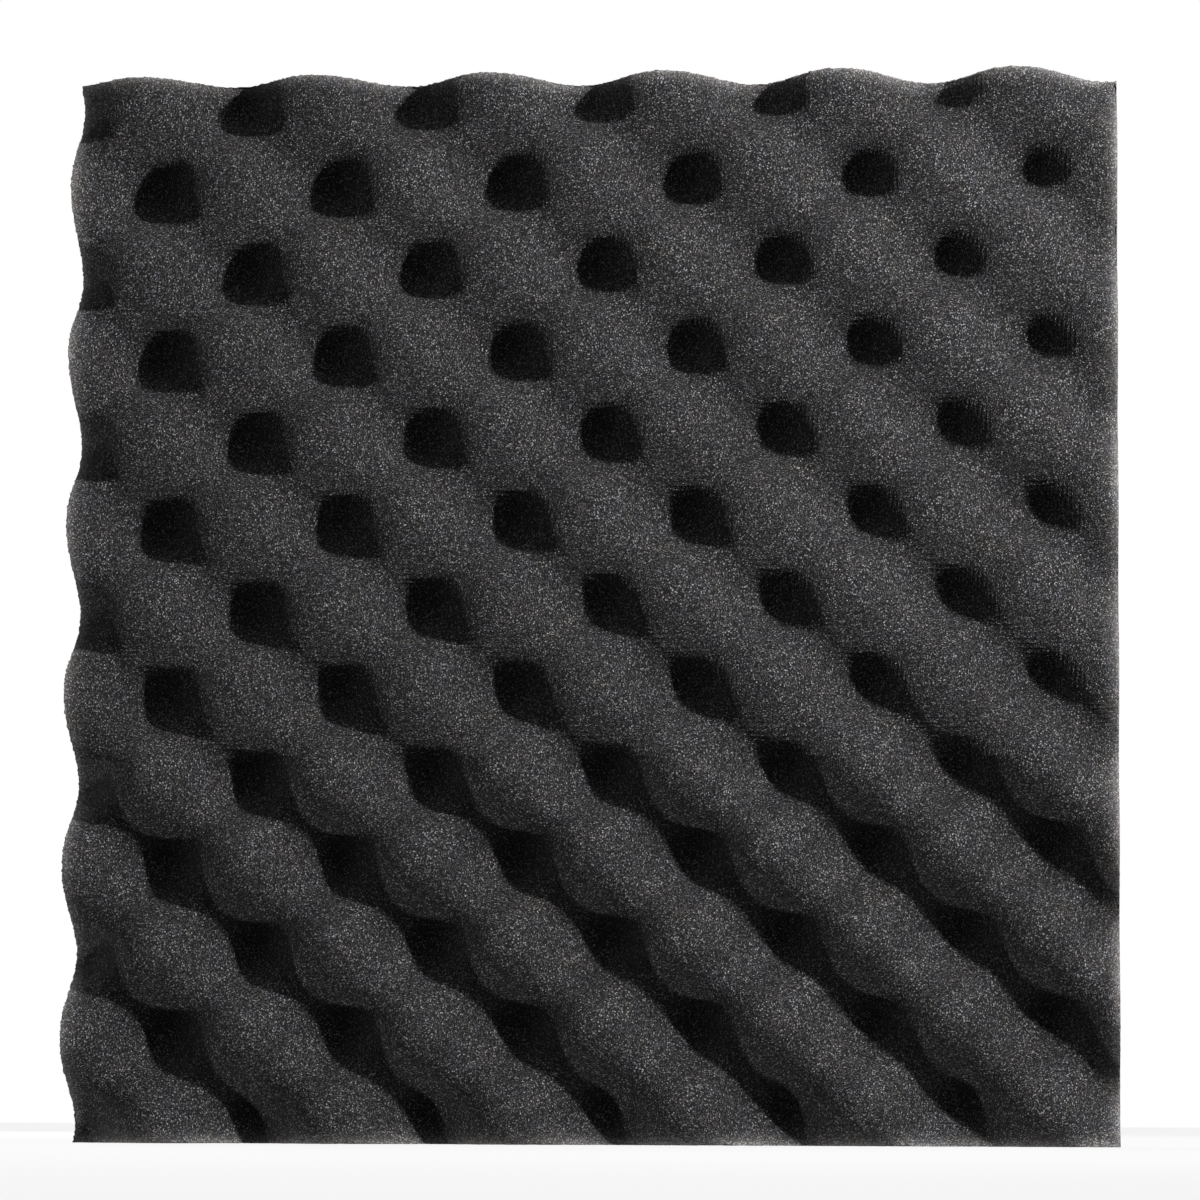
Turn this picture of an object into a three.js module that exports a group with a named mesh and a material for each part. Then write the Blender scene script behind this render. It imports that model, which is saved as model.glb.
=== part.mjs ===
import * as THREE from 'three';

// Acoustic foam panel: one tile of open-cell foam with a convoluted, egg-crate face.
// Its flat back carries an adhesive film, covered by a release liner that is slit near one side.
// Millimetres, +Z up. The tile hangs upright on a wall: X runs along the wall, the back lies in
// the plane Y = 0 with the wall behind it, and the relief faces -Y, into the room.
// The origin is the middle of the back.

// driving dimensions of the foam
const tileWidth = 300;
const tileHeight = 306;
const foamThickness = 40;
const baseThickness = 12.5;

// driving dimensions of the relief: the distance between the pits of one row and of one column,
// the place of one pit from the middle of the tile, and how far its rows and columns are turned
// against the cut edges
const pitchAcross = 50.4;
const pitchUpward = 48.9;
const pitFromMiddleX = -1.4;
const pitFromMiddleZ = 2.3;
const rowTurnDegrees = 1.3;
const columnTurnDegrees = 1.2;

// side of the facets that the curved relief is made of
const facetSide = 5;

// driving dimensions of the backing
const filmThickness = 0.25;
const filmInset = 2;
const linerThickness = 0.15;
const linerStripWidth = 60;
const linerSlit = 0.6;

// how broad the peaks are against the pits, from alike at 1
const broadnessShare = 1.17;

// finishes
const charcoalFoam = new THREE.MeshStandardMaterial({
  color: 0x343334,
  roughness: 0.95,
  metalness: 0,
});
const clearAdhesive = new THREE.MeshStandardMaterial({
  color: 0xd9d2b8,
  roughness: 0.35,
  metalness: 0,
});
const linerPaper = new THREE.MeshStandardMaterial({
  color: 0xe9e4d6,
  roughness: 0.6,
  metalness: 0,
});

// A named mesh with its own material.
function piece(name, geometry, material) {
  const mesh = new THREE.Mesh(geometry, material);
  mesh.name = name;
  return mesh;
}

// Thickness of the foam at a point of the back, from the base under the pits to the peaks.
function foamThicknessAt(x, z) {
  const rowTurn = THREE.MathUtils.degToRad(rowTurnDegrees);
  const columnTurn = THREE.MathUtils.degToRad(columnTurnDegrees);
  const fromPitX = x - pitFromMiddleX;
  const fromPitZ = z - pitFromMiddleZ;
  const across = fromPitX * Math.cos(columnTurn) + fromPitZ * Math.sin(columnTurn);
  const upward = fromPitZ * Math.cos(rowTurn) - fromPitX * Math.sin(rowTurn);
  // pits and peaks take turns like the fields of a chessboard
  const waveAcross = Math.cos((2 * Math.PI * across) / pitchAcross);
  const waveUpward = Math.cos((2 * Math.PI * upward) / pitchUpward);
  const depthShare = Math.pow((1 + waveAcross * waveUpward) / 2, broadnessShare);
  return foamThickness - (foamThickness - baseThickness) * depthShare;
}

// The tile as a closed body: the relief, four cut edges and the flat back.
function convolutedTile() {
  const columns = Math.round(tileWidth / facetSide);
  const rows = Math.round(tileHeight / facetSide);
  const positions = [];
  const triangles = [];
  const vertex = (x, y, z) => positions.push(x, y, z) / 3 - 1;
  const xAt = (column) => tileWidth * (column / columns - 1 / 2);
  const zAt = (row) => tileHeight * (row / rows - 1 / 2);

  const relief = [];
  for (let row = 0; row <= rows; row++) {
    relief.push([]);
    for (let column = 0; column <= columns; column++) {
      const x = xAt(column);
      const z = zAt(row);
      relief[row].push(vertex(x, -foamThicknessAt(x, z), z));
    }
  }
  for (let row = 0; row < rows; row++) {
    for (let column = 0; column < columns; column++) {
      const a = relief[row][column];
      const b = relief[row][column + 1];
      const c = relief[row + 1][column + 1];
      const d = relief[row + 1][column];
      // the diagonal changes from facet to facet, so that the relief leans to no side
      if ((row + column) % 2) triangles.push(a, b, d, b, c, d);
      else triangles.push(a, b, c, a, c, d);
    }
  }

  // the rim of the relief, once round the tile, counter-clockwise as seen from the room
  const rim = [];
  for (let column = 0; column < columns; column++) rim.push([0, column]);
  for (let row = 0; row < rows; row++) rim.push([row, columns]);
  for (let column = columns; column > 0; column--) rim.push([rows, column]);
  for (let row = rows; row > 0; row--) rim.push([row, 0]);
  const back = rim.map(([row, column]) => vertex(xAt(column), 0, zAt(row)));
  const middle = vertex(0, 0, 0);
  for (let i = 0; i < rim.length; i++) {
    const next = (i + 1) % rim.length;
    const here = relief[rim[i][0]][rim[i][1]];
    const there = relief[rim[next][0]][rim[next][1]];
    triangles.push(here, back[i], there, there, back[i], back[next]);
    triangles.push(back[i], middle, back[next]);
  }

  const geometry = new THREE.BufferGeometry();
  geometry.setAttribute('position', new THREE.Float32BufferAttribute(positions, 3));
  geometry.setIndex(triangles);
  geometry.computeVertexNormals();
  return geometry;
}

// A flat sheet parallel to the wall, between two sides and as high as the film.
function sheet(name, left, right, thickness, fromWall, material) {
  const height = tileHeight - 2 * filmInset;
  const mesh = piece(name, new THREE.BoxGeometry(right - left, thickness, height), material);
  mesh.position.set((left + right) / 2, -fromWall - thickness / 2, 0);
  return mesh;
}

const panel = new THREE.Group();

const foam = piece('foam_tile', convolutedTile(), charcoalFoam);
foam.position.y = -linerThickness - filmThickness;
panel.add(foam);

const filmSide = tileWidth / 2 - filmInset;
const slitMiddle = filmSide - linerStripWidth - linerSlit / 2;
panel.add(sheet('adhesive_film', -filmSide, filmSide, filmThickness, linerThickness, clearAdhesive));
panel.add(sheet('release_liner_wide', -filmSide, slitMiddle - linerSlit / 2, linerThickness, 0, linerPaper));
panel.add(sheet('release_liner_strip', slitMiddle + linerSlit / 2, filmSide, linerThickness, 0, linerPaper));

export default panel;
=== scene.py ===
import math

import bmesh
import bpy
import numpy as np
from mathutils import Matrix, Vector, noise


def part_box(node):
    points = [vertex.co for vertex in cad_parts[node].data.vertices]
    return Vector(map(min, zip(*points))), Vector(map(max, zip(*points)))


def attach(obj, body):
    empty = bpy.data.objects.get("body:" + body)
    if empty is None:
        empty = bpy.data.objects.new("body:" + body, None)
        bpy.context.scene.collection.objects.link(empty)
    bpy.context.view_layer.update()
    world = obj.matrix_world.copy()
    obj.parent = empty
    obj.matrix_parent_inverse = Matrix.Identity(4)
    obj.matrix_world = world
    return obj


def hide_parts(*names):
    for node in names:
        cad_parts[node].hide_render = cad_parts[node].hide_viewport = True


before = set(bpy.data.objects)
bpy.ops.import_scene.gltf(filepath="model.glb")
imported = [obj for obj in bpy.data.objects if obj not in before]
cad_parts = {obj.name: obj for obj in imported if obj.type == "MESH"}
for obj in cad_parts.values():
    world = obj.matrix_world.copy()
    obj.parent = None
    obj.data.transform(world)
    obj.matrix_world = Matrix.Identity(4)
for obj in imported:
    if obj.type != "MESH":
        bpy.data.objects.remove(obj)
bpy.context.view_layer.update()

bl_info = {
    "name": "Acoustic Foam Panel",
    "version": (1, 0, 0),
    "blender": (4, 5, 0),
    "location": "3D View > Sidebar > Foam Panel",
    "description": "A convoluted foam wall tile with an adhesive back under a slit release liner",
    "category": "Add Mesh",
}

FOAM_LOW, FOAM_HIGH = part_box("foam_tile")
TILE_WIDTH = FOAM_HIGH.x - FOAM_LOW.x
TILE_HEIGHT = FOAM_HIGH.z - FOAM_LOW.z
TILE_THICKNESS = FOAM_HIGH.y - FOAM_LOW.y
MILLIMETRE = 0.001


# sizes and colours that a user would change


class FoamTileSizes(bpy.types.PropertyGroup):
    """The relief that the convoluting rollers press into the foam, and its open cells"""

    base_thickness: bpy.props.FloatProperty(
        name="Base thickness",
        description="Foam that is left under a pit",
        default=12.5 * MILLIMETRE,
        unit="LENGTH",
    )
    pitch_across: bpy.props.FloatProperty(
        name="Pitch across",
        description="Distance between two pits of one row",
        default=50.4 * MILLIMETRE,
        unit="LENGTH",
    )
    pitch_upward: bpy.props.FloatProperty(
        name="Pitch upward",
        description="Distance between two pits of one column",
        default=48.9 * MILLIMETRE,
        unit="LENGTH",
    )
    pit_from_middle: bpy.props.FloatVectorProperty(
        name="Pit from middle",
        description="Place of one pit, across and upward from the middle of the tile",
        size=2,
        default=(-1.4 * MILLIMETRE, 2.3 * MILLIMETRE),
        subtype="TRANSLATION",
    )
    row_turn: bpy.props.FloatProperty(
        name="Row turn",
        description="How far the rows of pits are turned against the cut edges",
        default=math.radians(1.3),
        subtype="ANGLE",
    )
    column_turn: bpy.props.FloatProperty(
        name="Column turn",
        description="How far the columns of pits are turned against the cut edges",
        default=math.radians(1.2),
        subtype="ANGLE",
    )
    broadness: bpy.props.FloatProperty(
        name="Broadness",
        description="How broad the peaks are against the pits, from alike at 1",
        default=1.17,
        subtype="FACTOR",
    )
    mesh_step: bpy.props.FloatProperty(
        name="Mesh step",
        description="Side of one face of the relief",
        default=1.2 * MILLIMETRE,
        unit="LENGTH",
    )
    wall_rings: bpy.props.IntProperty(
        name="Wall rings",
        description="Rows of faces on each cut edge",
        default=14,
    )
    rim_cuts: bpy.props.IntProperty(
        name="Rim cuts",
        description="Cuts through each face that lies along the rim of a cut edge",
        default=2,
    )
    unevenness: bpy.props.FloatProperty(
        name="Unevenness",
        description="How far the relief strays from its pattern",
        default=0.5 * MILLIMETRE,
        unit="LENGTH",
    )
    unevenness_size: bpy.props.FloatProperty(
        name="Unevenness size",
        description="Size of one stray swell",
        default=38 * MILLIMETRE,
        unit="LENGTH",
    )
    soak: bpy.props.FloatProperty(
        name="Soak",
        description="How much the light that soaks into the open cells evens out the slopes",
        default=0.9,
        subtype="FACTOR",
    )
    torn_depth: bpy.props.FloatProperty(
        name="Torn depth",
        description="Depth of the torn cells on the surface",
        default=0.1 * MILLIMETRE,
        unit="LENGTH",
    )
    ragged_depth: bpy.props.FloatProperty(
        name="Ragged depth",
        description="How far the cut has torn cells away along its rim",
        default=0.6 * MILLIMETRE,
        unit="LENGTH",
    )
    # the lighter rim of this width is painted light shining through the cut edge; the torn cells along it
    # are real geometry
    rim_width: bpy.props.FloatProperty(
        name="Rim width",
        description="Width of the loose, lighter cells along a cut edge",
        default=1.4 * MILLIMETRE,
        unit="LENGTH",
    )
    cell: bpy.props.FloatProperty(
        name="Cell",
        description="Size of one open cell",
        default=0.54 * MILLIMETRE,
        unit="LENGTH",
    )


class FoamBackSizes(bpy.types.PropertyGroup):
    """The ripple of the adhesive film, and the fibres and cockles of the release liner"""

    ripple_size: bpy.props.FloatProperty(
        name="Ripple size",
        description="Size of one ripple of the adhesive film",
        default=6 * MILLIMETRE,
        unit="LENGTH",
    )
    ripple_depth: bpy.props.FloatProperty(
        name="Ripple depth",
        description="Depth of the ripples of the adhesive film",
        default=0.2 * MILLIMETRE,
        unit="LENGTH",
    )
    fibre_size: bpy.props.FloatProperty(
        name="Fibre size",
        description="Size of the fine fibres of the liner paper",
        default=0.7 * MILLIMETRE,
        unit="LENGTH",
    )
    cloud_size: bpy.props.FloatProperty(
        name="Cloud size",
        description="Size of the denser and thinner places of the liner paper",
        default=9 * MILLIMETRE,
        unit="LENGTH",
    )
    cockle_size: bpy.props.FloatProperty(
        name="Cockle size",
        description="Size of the broad cockles of the liner paper",
        default=45 * MILLIMETRE,
        unit="LENGTH",
    )
    cockle_depth: bpy.props.FloatProperty(
        name="Cockle depth",
        description="Depth of the relief of the liner paper",
        default=1.2 * MILLIMETRE,
        unit="LENGTH",
    )


class FoamColours(bpy.types.PropertyGroup):
    """Colours of the foam, the adhesive film and the release liner"""

    hollow: bpy.props.FloatVectorProperty(
        name="Cell hollow",
        description="Charcoal of the open cells",
        subtype="COLOR",
        default=(0.01, 0.0097, 0.01),
    )
    cool_strut: bpy.props.FloatVectorProperty(
        name="Cool strut",
        description="Blueish grey of some struts between the cells",
        subtype="COLOR",
        default=(0.59, 0.585, 0.635),
    )
    # the warm colour along the cut edges is painted light shining through them
    warm_strut: bpy.props.FloatVectorProperty(
        name="Warm strut",
        description="Brownish grey of other struts, and of the rim of the cut edges",
        subtype="COLOR",
        default=(0.63, 0.6, 0.585),
    )
    film: bpy.props.FloatVectorProperty(
        name="Adhesive film",
        description="Amber of the adhesive",
        subtype="COLOR",
        default=(0.69, 0.64, 0.48),
    )
    liner: bpy.props.FloatVectorProperty(
        name="Release liner",
        description="Cream of the coated paper",
        subtype="COLOR",
        default=(0.81, 0.77, 0.67),
    )


class StageSettings(bpy.types.PropertyGroup):
    """The camera, the floor and the lamps"""

    camera_place: bpy.props.FloatVectorProperty(
        name="Camera place",
        description="Where the camera stands",
        subtype="TRANSLATION",
        default=(0.138, -1.7, -0.146),
    )
    camera_turn: bpy.props.FloatVectorProperty(
        name="Camera turn",
        description="How the camera is turned, as an XYZ Euler rotation",
        subtype="EULER",
        default=(math.radians(95.04), math.radians(-0.235), math.radians(4.614)),
    )
    sensor: bpy.props.FloatProperty(
        name="Sensor",
        description="Width of the camera's sensor",
        subtype="DISTANCE_CAMERA",
        default=36,
    )
    lens: bpy.props.FloatProperty(
        name="Lens",
        description="Focal length of the camera",
        subtype="DISTANCE_CAMERA",
        default=177,
    )
    key_place: bpy.props.FloatVectorProperty(
        name="Key place",
        description="Where the key lamp hangs",
        subtype="TRANSLATION",
        default=(0.547, -0.551, 0.344),
    )
    key_power: bpy.props.FloatProperty(
        name="Key power",
        description="Power of the key lamp",
        default=5.5,
        unit="POWER",
    )
    key_side: bpy.props.FloatProperty(
        name="Key side",
        description="Side of the key lamp",
        default=0.045,
        unit="LENGTH",
    )
    low_place: bpy.props.FloatVectorProperty(
        name="Low place",
        description="Where the low lamp stands that grazes the relief from the other side",
        subtype="TRANSLATION",
        default=(-1.47, -0.8, -2.32),
    )
    low_power: bpy.props.FloatProperty(
        name="Low power",
        description="Power of the low lamp",
        default=16.7,
        unit="POWER",
    )
    low_side: bpy.props.FloatProperty(
        name="Low side",
        description="Side of the low lamp",
        default=0.18,
        unit="LENGTH",
    )
    right_place: bpy.props.FloatVectorProperty(
        name="Right place",
        description="Where the soft lamp on the right hangs",
        subtype="TRANSLATION",
        default=(0.9, -0.8, -0.1),
    )
    right_power: bpy.props.FloatProperty(
        name="Right power",
        description="Power of the lamp on the right",
        default=1.5,
        unit="POWER",
    )
    right_side: bpy.props.FloatProperty(
        name="Right side",
        description="Side of the lamp on the right",
        default=0.6,
        unit="LENGTH",
    )
    rear_place: bpy.props.FloatVectorProperty(
        name="Rear place",
        description="Where the lamp behind the tile hangs",
        subtype="TRANSLATION",
        default=(-0.5, 1.1, 0.6),
    )
    rear_power: bpy.props.FloatProperty(
        name="Rear power",
        description="Power of the lamp behind the tile",
        default=14,
        unit="POWER",
    )
    rear_side: bpy.props.FloatProperty(
        name="Rear side",
        description="Side of the lamp behind the tile",
        default=0.5,
        unit="LENGTH",
    )
    fill: bpy.props.FloatProperty(
        name="Fill",
        description="Light that comes from all round",
        default=0.19,
        subtype="FACTOR",
    )
    bounces: bpy.props.IntProperty(
        name="Bounces",
        description="How often one surface lights another, which dark open cells hardly do",
        default=0,
    )
    floor_side: bpy.props.FloatProperty(
        name="Floor side",
        description="Side of the floor",
        default=14,
        unit="LENGTH",
    )
    floor_grey: bpy.props.FloatProperty(
        name="Floor grey",
        description="How pale the floor is",
        default=0.7,
        subtype="FACTOR",
    )
    floor_glow: bpy.props.FloatProperty(
        name="Floor glow",
        description="How far the floor looks plain white, where at 1 no shadow is left on it",
        default=0.87,
        subtype="FACTOR",
    )


# shader maths


class Value:
    """A socket whose value can be used in plain sums"""

    def __init__(self, nodes, socket):
        self.nodes = nodes
        self.socket = socket

    def maths(self, operation, *terms):
        return self.nodes.node("ShaderNodeMath", {"operation": operation}, dict(enumerate(terms)))

    def __add__(self, other):
        return self.maths("ADD", self, other)

    def __radd__(self, other):
        return self.maths("ADD", other, self)

    def __sub__(self, other):
        return self.maths("SUBTRACT", self, other)

    def __rsub__(self, other):
        return self.maths("SUBTRACT", other, self)

    def __mul__(self, other):
        return self.maths("MULTIPLY", self, other)

    def __rmul__(self, other):
        return self.maths("MULTIPLY", other, self)

    def __pow__(self, other):
        return self.maths("POWER", self, other)

    def also(self, name):
        """Another output of the same node"""
        return Value(self.nodes, self.socket.node.outputs[name])

    def within(self, low, high):
        """0 at low, 1 at high, and straight between them"""
        inputs = {"Value": self, "From Min": low, "From Max": high}
        return self.nodes.node("ShaderNodeMapRange", {"clamp": True}, inputs)


class Nodes:
    """A node tree and what is added to it"""

    def __init__(self, tree):
        self.tree = tree

    def node(self, kind, settings=None, inputs=None, output=0):
        """Adds a node: its settings come first, then the values or links of its sockets"""
        made = self.tree.nodes.new(kind)
        for name, setting in (settings or {}).items():
            setattr(made, name, setting)
        for name, value in (inputs or {}).items():
            self.feed(made.inputs[name], value)
        return Value(self, made.outputs[output])

    def feed(self, socket, value):
        if isinstance(value, Value):
            self.tree.links.new(value.socket, socket)
        elif socket.type == "RGBA":
            socket.default_value = (*value, 1)
        else:
            socket.default_value = value

    def shown_ray(self):
        """1 for what the camera sees, also in a mirror or through glass, and 0 for what lights a surface"""
        ray = self.node("ShaderNodeLightPath", output="Is Camera Ray")
        return (ray + ray.also("Is Glossy Ray") + ray.also("Is Transmission Ray")).within(0, 1)


class Finish(Nodes):
    """A material and its nodes"""

    # a Mix node has its sockets for colours behind those for numbers and vectors
    MIX_SHARE, MIX_FIRST, MIX_SECOND, MIX_COLOUR = 0, 6, 7, 2

    def __init__(self, name):
        self.material = bpy.data.materials.new(name)
        self.material.use_nodes = True
        super().__init__(self.material.node_tree)
        self.shader = self.tree.nodes["Principled BSDF"]

    def place(self):
        return self.node("ShaderNodeTexCoord", output="Object")

    def grain(self, place, size, detail=2, roughness=0.5):
        """Soft noise about one half, with swells of that size"""
        inputs = {"Vector": place, "Scale": 1 / size, "Detail": detail, "Roughness": roughness}
        return self.node("ShaderNodeTexNoise", {}, inputs)

    def blend(self, share, first, second):
        """The first colour where share is 0, and the second where it is 1"""
        inputs = {self.MIX_SHARE: share, self.MIX_FIRST: first, self.MIX_SECOND: second}
        return self.node("ShaderNodeMix", {"data_type": "RGBA"}, inputs, output=self.MIX_COLOUR)

    def bump(self, height, distance, strength):
        inputs = {"Height": height, "Distance": distance, "Strength": strength}
        return self.node("ShaderNodeBump", {}, inputs)

    def surface(self, **sockets):
        """Feeds the sockets of the surface, with an underscore for each space of their names"""
        for name, value in sockets.items():
            self.feed(self.shader.inputs[name.replace("_", " ")], value)


def darker(colour, share):
    return tuple(share * part for part in colour)


# values at the points of a mesh


def mesh_points(mesh):
    points = np.zeros(3 * len(mesh.vertices))
    mesh.vertices.foreach_get("co", points)
    return points.reshape(-1, 3)


def set_mesh_points(mesh, points):
    mesh.vertices.foreach_set("co", points.reshape(-1))
    mesh.update()


def point_normals(mesh):
    normals = np.zeros(3 * len(mesh.vertices))
    mesh.vertices.foreach_get("normal", normals)
    return normals.reshape(-1, 3)


def mark_points(mesh, name, values):
    attribute = mesh.attributes.new(name, "FLOAT", "POINT")
    attribute.data.foreach_set("value", values.astype(np.float32))


def point_marks(mesh, name):
    values = np.zeros(len(mesh.vertices))
    mesh.attributes[name].data.foreach_get("value", values)
    return values


def swell(points, size, seed):
    """Smooth noise between about -1 and 1 at each point"""
    shift = Vector((seed, 2 * seed, 3 * seed))
    return np.array([noise.noise(Vector(point) / size + shift) for point in points])


# the foam


def foam_thickness(sizes, across_tile, up_tile):
    """Thickness of the foam at places of the back, from the base under the pits to the peaks"""
    row_turn, column_turn = sizes.row_turn, sizes.column_turn
    from_pit_x = across_tile - sizes.pit_from_middle[0]
    from_pit_z = up_tile - sizes.pit_from_middle[1]
    across = from_pit_x * math.cos(column_turn) + from_pit_z * math.sin(column_turn)
    upward = from_pit_z * math.cos(row_turn) - from_pit_x * math.sin(row_turn)
    wave_across = np.cos(2 * np.pi * across / sizes.pitch_across)
    wave_upward = np.cos(2 * np.pi * upward / sizes.pitch_upward)
    depth_share = ((1 + wave_across * wave_upward) / 2) ** sizes.broadness
    return TILE_THICKNESS - (TILE_THICKNESS - sizes.base_thickness) * depth_share


def deselect_all():
    for each in bpy.context.selected_objects:
        each.select_set(False)


def foam_slab(sizes):
    """A slab in front of the wall: a fine front, ringed walls with a finer rim, and one face at the back"""
    bpy.ops.mesh.primitive_grid_add(
        x_subdivisions=round(TILE_WIDTH / sizes.mesh_step),
        y_subdivisions=round(TILE_HEIGHT / sizes.mesh_step),
        size=1,
        location=(0, FOAM_LOW.y, 0),
        rotation=(math.pi / 2, 0, 0),
    )
    slab = bpy.context.active_object
    slab.name = "convoluted_foam"
    slab.data.name = "convoluted_foam"
    slab.scale = (TILE_WIDTH, TILE_HEIGHT, 1)
    bpy.ops.object.transform_apply(location=True, rotation=True, scale=True)

    bpy.ops.object.mode_set(mode="EDIT")
    select_outer_edges(slab)
    ring = TILE_THICKNESS / sizes.wall_rings
    for _ in range(sizes.wall_rings):
        bpy.ops.mesh.extrude_region_move(TRANSFORM_OT_translate={"value": (0, ring, 0)})
    bpy.ops.mesh.edge_face_add()
    bpy.ops.mesh.select_all(action="SELECT")
    bpy.ops.mesh.normals_make_consistent(inside=False)
    select_rim_faces(slab, sizes, ring)
    bpy.ops.mesh.subdivide(number_cuts=sizes.rim_cuts)
    bpy.ops.object.mode_set(mode="OBJECT")
    return slab


def select_outer_edges(slab):
    bpy.ops.mesh.select_mode(type="EDGE")
    mesh = bmesh.from_edit_mesh(slab.data)
    for edge in mesh.edges:
        edge.select_set(edge.is_boundary)
    mesh.select_flush_mode()
    bmesh.update_edit_mesh(slab.data)


def select_rim_faces(slab, sizes, ring):
    """Selects the outermost faces of the front and the foremost ones of the walls"""
    bpy.ops.mesh.select_mode(type="FACE")
    bpy.ops.mesh.select_all(action="DESELECT")
    mesh = bmesh.from_edit_mesh(slab.data)
    for face in mesh.faces:
        middle = face.calc_center_median()
        from_side = TILE_WIDTH / 2 - abs(middle.x)
        from_end = TILE_HEIGHT / 2 - abs(middle.z)
        outermost = min(from_side, from_end) < sizes.mesh_step
        face.select_set(outermost and middle.y < FOAM_LOW.y + ring)
    bmesh.update_edit_mesh(slab.data)


def wall_shares(points):
    """1 at the front of the slab and 0 at its back, by which the walls are stretched"""
    return np.clip((FOAM_HIGH.y - points[:, 1]) / TILE_THICKNESS, 0, 1)


def carve_relief(slab, sizes):
    """Moves the front to the relief, draws the walls along with it, and marks the rim of the cut edges"""
    points = mesh_points(slab.data)
    shares = wall_shares(points)
    strays = swell(points * (1, 0, 1), sizes.unevenness_size, seed=5) * sizes.unevenness
    thickness = foam_thickness(sizes, points[:, 0], points[:, 2]) + strays
    thickness = np.minimum(thickness, TILE_THICKNESS)
    points[:, 1] = FOAM_HIGH.y - shares * thickness
    set_mesh_points(slab.data, points)
    mark_points(slab.data, "relief", shares == 1)

    # this rim mark drives both the torn cells and the painted light along the cut edges
    from_side = TILE_WIDTH / 2 - np.abs(points[:, 0])
    from_end = TILE_HEIGHT / 2 - np.abs(points[:, 2])
    from_cut = np.maximum(np.minimum(from_side, from_end), 0)
    below_rim = (1 - shares) * thickness
    mark_points(slab.data, "cut_rim", np.exp(-(from_cut + below_rim) / sizes.rim_width))


def tear_cells(slab, sizes):
    """Small pits and tufts where the cells are cut open, kept inside the tile's box"""
    points = mesh_points(slab.data)
    small_tears = swell(points, 2.6 * sizes.cell, seed=11)
    broad_tears = swell(points, 7 * sizes.cell, seed=23)
    torn_share = np.clip(0.5 + 0.6 * small_tears + 0.8 * broad_tears, 0, 1.4)
    tatters = swell(points, 1.8 * sizes.cell, seed=31)
    ragged_share = np.clip(0.5 + 1.4 * tatters, 0, 1) * point_marks(slab.data, "cut_rim") ** 2
    inward = torn_share * sizes.torn_depth + ragged_share * sizes.ragged_depth
    inward[wall_shares(points) <= 0] = 0
    set_mesh_points(slab.data, points - point_normals(slab.data) * inward[:, None])


def soften_normals(slab, sizes):
    """Evens out the shading of the relief, as light does that soaks into open cells"""
    normals = point_normals(slab.data)
    normals[:, 1] -= point_marks(slab.data, "relief") * sizes.soak
    normals /= np.linalg.norm(normals, axis=1)[:, None]
    slab.data.normals_split_custom_set_from_vertices(normals.tolist())


def open_cell_foam(sizes, colours):
    """Charcoal foam: a bright spot on the struts of each open cell, some brighter with painted glints, and
    the rim along the cut edges painted lighter and warmer, standing in for light that shines through it
    """
    finish = Finish("open_cell_foam")
    place = finish.place()
    cell = sizes.cell
    cells = finish.node("ShaderNodeTexVoronoi", {"feature": "F1"}, {"Vector": place, "Scale": 1 / cell})
    spot = 1 - cells.within(0.1, 0.55)
    # painted glints: some cells are painted brighter in place of the light that strut membranes reflect
    painted_glint = cells.also("Color").within(0.55, 0.95) ** 1.5
    tuft = finish.grain(place, 4 * cell)
    patch = finish.grain(place, 60 * cell, detail=3)
    tint = finish.grain(place, 12 * cell, detail=1).within(0.35, 0.65)
    rim = finish.node("ShaderNodeAttribute", {"attribute_name": "cut_rim"}, output="Fac")

    # the rim along the cut edges is painted lighter, standing in for light that shines through the edge
    level = 0.02 + spot * (0.24 + 1.5 * painted_glint) + rim * (0.35 + 0.7 * spot)
    share = level * (1 + 0.9 * (tuft - 0.5) + 0.6 * (patch - 0.5))
    # the painted light along the cut edges is also painted warmer
    strut = finish.blend(tint + rim, colours.cool_strut, colours.warm_strut)
    finish.surface(
        Base_Color=finish.blend(share.within(0, 1), colours.hollow, strut),
        Roughness=0.9,
        Specular_IOR_Level=0.1,
        Normal=finish.bump(spot + 2 * tuft, 0.5 * cell, 0.5),
    )
    return finish.material


# the back


def adhesive(sizes, colours):
    """Tacky amber film with a faint ripple"""
    finish = Finish("adhesive_film")
    ripple = finish.grain(finish.place(), sizes.ripple_size, detail=3)
    finish.surface(
        Base_Color=finish.blend(ripple.within(0.3, 0.7), colours.film, darker(colours.film, 0.8)),
        Roughness=0.25 + 0.2 * ripple,
        Normal=finish.bump(ripple, sizes.ripple_depth, 0.5),
    )
    return finish.material


def coated_paper(sizes, colours, name, shift):
    """Cream paper with fine fibres, broad cockles and a soft sheen"""
    finish = Finish(name)
    inputs = {"Vector": finish.place(), "Location": (shift, 0, shift)}
    place = finish.node("ShaderNodeMapping", {}, inputs)
    fibre = finish.grain(place, sizes.fibre_size, detail=4, roughness=0.65)
    cloud = finish.grain(place, sizes.cloud_size, detail=3)
    cockle = finish.grain(place, sizes.cockle_size, detail=1)
    mottle = 0.6 * fibre + 0.4 * cloud
    height = 0.04 * fibre + 0.1 * cloud + 2.2 * cockle
    finish.surface(
        Base_Color=finish.blend(mottle.within(0.3, 0.7), darker(colours.liner, 0.84), colours.liner),
        Roughness=0.42 + 0.2 * mottle,
        Normal=finish.bump(height, sizes.cockle_depth, 0.6),
    )
    return finish.material


def dress_node(node_name, material):
    """Gives a CAD node its finish in place of the plain one"""
    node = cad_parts[node_name]
    node.data.materials.clear()
    node.data.materials.append(material)


# the stage


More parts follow.
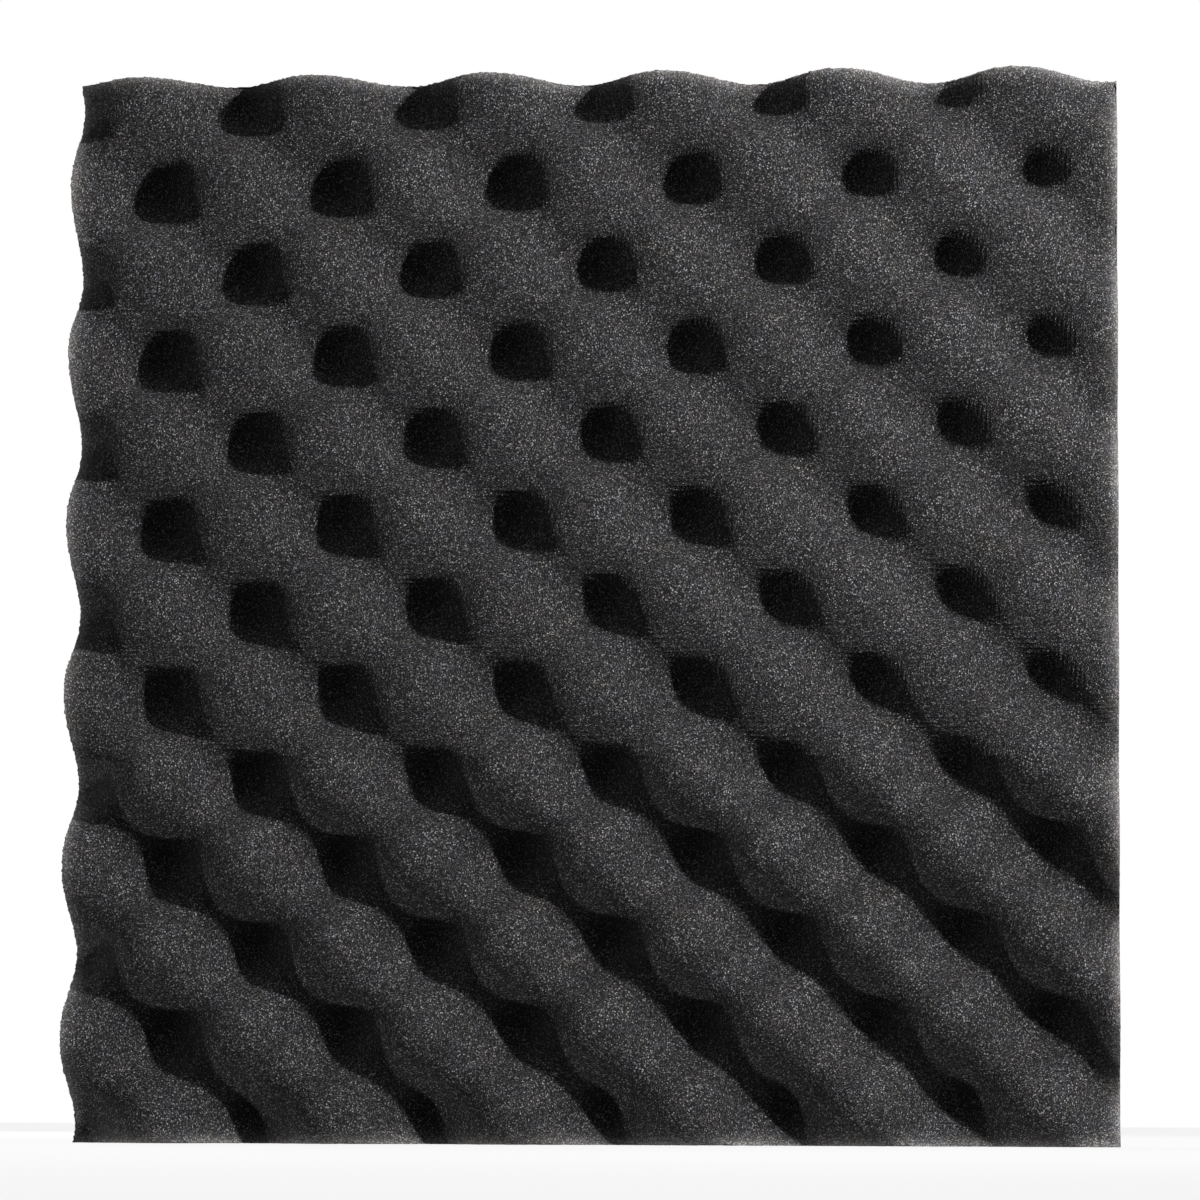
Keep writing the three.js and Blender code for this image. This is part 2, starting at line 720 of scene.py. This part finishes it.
def floor_finish(stage):
    """Pale floor that shows the tile's shadow and is nearly as white as what is behind it"""
    finish = Finish("pale_floor")
    finish.surface(Base_Color=[stage.floor_grey] * 3, Roughness=0.9)
    lit = Value(finish, finish.shader.outputs["BSDF"])
    glow = finish.node("ShaderNodeEmission", {}, {"Color": (1, 1, 1), "Strength": 1})
    inputs = {0: stage.floor_glow * finish.shown_ray(), 1: lit, 2: glow}
    both = finish.node("ShaderNodeMixShader", {}, inputs)
    finish.feed(finish.tree.nodes["Material Output"].inputs["Surface"], both)
    return finish.material


def lay_floor(stage):
    bpy.ops.mesh.primitive_plane_add(size=stage.floor_side, location=(0, 0, FOAM_LOW.z))
    floor = bpy.context.active_object
    floor.name = "floor"
    floor.data.materials.append(floor_finish(stage))
    # the low lamp stands below the floor
    floor.visible_shadow = False


def white_room(stage):
    """White behind the tile for the camera and in reflections, and a little light from all round"""
    world = bpy.data.worlds.new("white_room")
    world.use_nodes = True
    bpy.context.scene.world = world
    nodes = Nodes(world.node_tree)
    background = nodes.tree.nodes["Background"]
    nodes.feed(background.inputs["Color"], (1, 1, 1))
    nodes.feed(background.inputs["Strength"], stage.fill + (1 - stage.fill) * nodes.shown_ray())


def hang_lamp(name, place, power, side):
    """A square lamp that faces the middle of the tile"""
    lamp = bpy.data.lights.new(name, "AREA")
    lamp.energy = power
    lamp.size = side
    hung = bpy.data.objects.new(name, lamp)
    hung.location = place
    hung.rotation_euler = (-Vector(place)).to_track_quat("-Z", "Y").to_euler()
    bpy.context.scene.collection.objects.link(hung)


def set_camera(stage):
    camera = bpy.data.cameras.new("camera")
    camera.sensor_width = stage.sensor
    camera.lens = stage.lens
    stand = bpy.data.objects.new("camera", camera)
    stand.location = stage.camera_place
    stand.rotation_euler = stage.camera_turn
    bpy.context.scene.collection.objects.link(stand)
    bpy.context.scene.camera = stand


class FOAMPANEL_OT_stage(bpy.types.Operator):
    """Lay the floor, hang the lamps and set up the camera"""

    bl_idname = "foam_panel.stage"
    bl_label = "Stage"

    def execute(self, context):
        stage = context.scene.foam_stage
        deselect_all()
        set_camera(stage)
        lay_floor(stage)
        white_room(stage)
        hang_lamp("key_lamp", stage.key_place, stage.key_power, stage.key_side)
        hang_lamp("low_lamp", stage.low_place, stage.low_power, stage.low_side)
        hang_lamp("right_lamp", stage.right_place, stage.right_power, stage.right_side)
        hang_lamp("rear_lamp", stage.rear_place, stage.rear_power, stage.rear_side)
        context.scene.view_settings.view_transform = "Standard"
        context.scene.cycles.diffuse_bounces = stage.bounces
        return {"FINISHED"}


class FOAMPANEL_OT_tile(bpy.types.Operator):
    """Model the convoluted foam and give it its open cells"""

    bl_idname = "foam_panel.tile"
    bl_label = "Foam Tile"

    def execute(self, context):
        sizes = context.scene.foam_tile_sizes
        deselect_all()
        tile = foam_slab(sizes)
        carve_relief(tile, sizes)
        tear_cells(tile, sizes)
        bpy.ops.object.shade_smooth()
        soften_normals(tile, sizes)
        # keeps the edges of the shadows smooth on the softened slopes
        tile.shadow_terminator_geometry_offset = 1
        tile.data.materials.append(open_cell_foam(sizes, context.scene.foam_colours))
        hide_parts("foam_tile")
        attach(tile, "root")
        return {"FINISHED"}


class FOAMPANEL_OT_back(bpy.types.Operator):
    """Give the adhesive film and the two parts of the release liner their finishes"""

    bl_idname = "foam_panel.back"
    bl_label = "Adhesive Back"

    def execute(self, context):
        sizes = context.scene.foam_back_sizes
        colours = context.scene.foam_colours
        dress_node("adhesive_film", adhesive(sizes, colours))
        # the shift breaks the pattern of the paper at the slit
        dress_node("release_liner_wide", coated_paper(sizes, colours, "liner_paper_wide", shift=0))
        dress_node("release_liner_strip", coated_paper(sizes, colours, "liner_paper_strip", shift=0.37))
        return {"FINISHED"}


class FOAMPANEL_PT_sidebar(bpy.types.Panel):
    """Lists the steps that build the tile"""

    bl_label = "Foam Panel"
    bl_idname = "FOAMPANEL_PT_sidebar"
    bl_space_type = "VIEW_3D"
    bl_region_type = "UI"
    bl_category = "Foam Panel"

    def draw(self, context):
        column = self.layout.column()
        column.operator(FOAMPANEL_OT_stage.bl_idname)
        column.operator(FOAMPANEL_OT_tile.bl_idname)
        column.operator(FOAMPANEL_OT_back.bl_idname)


SETTINGS = {
    "foam_tile_sizes": FoamTileSizes,
    "foam_back_sizes": FoamBackSizes,
    "foam_colours": FoamColours,
    "foam_stage": StageSettings,
}
CLASSES = (
    *SETTINGS.values(),
    FOAMPANEL_OT_stage,
    FOAMPANEL_OT_tile,
    FOAMPANEL_OT_back,
    FOAMPANEL_PT_sidebar,
)


def register():
    for each in CLASSES:
        bpy.utils.register_class(each)
    for name, group in SETTINGS.items():
        setattr(bpy.types.Scene, name, bpy.props.PointerProperty(type=group))


def unregister():
    for name in SETTINGS:
        delattr(bpy.types.Scene, name)
    for each in reversed(CLASSES):
        bpy.utils.unregister_class(each)


def main():
    register()
    bpy.ops.foam_panel.stage()
    bpy.ops.foam_panel.tile()
    bpy.ops.foam_panel.back()


if __name__ == "__main__":
    main()
